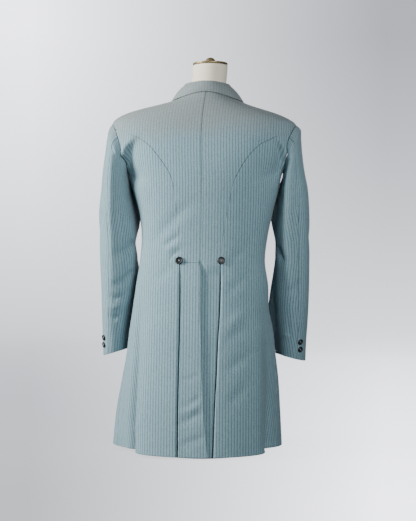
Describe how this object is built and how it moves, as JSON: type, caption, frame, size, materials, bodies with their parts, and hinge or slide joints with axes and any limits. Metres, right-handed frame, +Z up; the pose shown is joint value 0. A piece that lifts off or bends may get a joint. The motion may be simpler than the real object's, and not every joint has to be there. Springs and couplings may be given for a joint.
{
  "type": "frock coat on a limbless dress form",
  "caption": "Long fitted frock coat in striped wool with notch lapels, back waist pleats and a lapped centre vent, worn on a limbless dress form with a round base.",
  "frame": {"origin": "centre of the flat underside of the stand's round base, on the surface that it stands on", "axes": "+Z up; the wearer of the coat faces -Y and the wearer's left is +X"},
  "size_m": [0.5649, 0.3546, 1.0508],
  "materials": {
    "wool": "woven wool suiting, narrow self stripe",
    "horn": "polished dark horn",
    "form_cover": "plain stretched cotton",
    "brass": "aged satin",
    "iron": "black satin"
  },
  "bodies": {
    "root": {"back_left": "wool", "tail_left": "wool", "back_right": "wool", "side_back_left": "wool", "side_back_right": "wool", "front_left": "wool", "front_right": "wool", "lapel_left": "wool", "lapel_right": "wool", "collar": "wool", "sleeve_upper_left": "wool", "sleeve_under_left": "wool", "sleeve_upper_right": "wool", "sleeve_under_right": "wool", "button_waist_left": "horn", "button_waist_right": "horn", "button_cuff_left_1": "horn", "button_cuff_left_2": "horn", "button_cuff_right_1": "horn", "button_cuff_right_2": "horn", "button_front_1": "horn", "button_front_2": "horn", "button_front_3": "horn", "form_body": "form_cover", "neck_cap": "brass", "neck_knob": "brass", "stand_pole": "iron", "stand_base": "iron"}
  },
  "joints": []
}
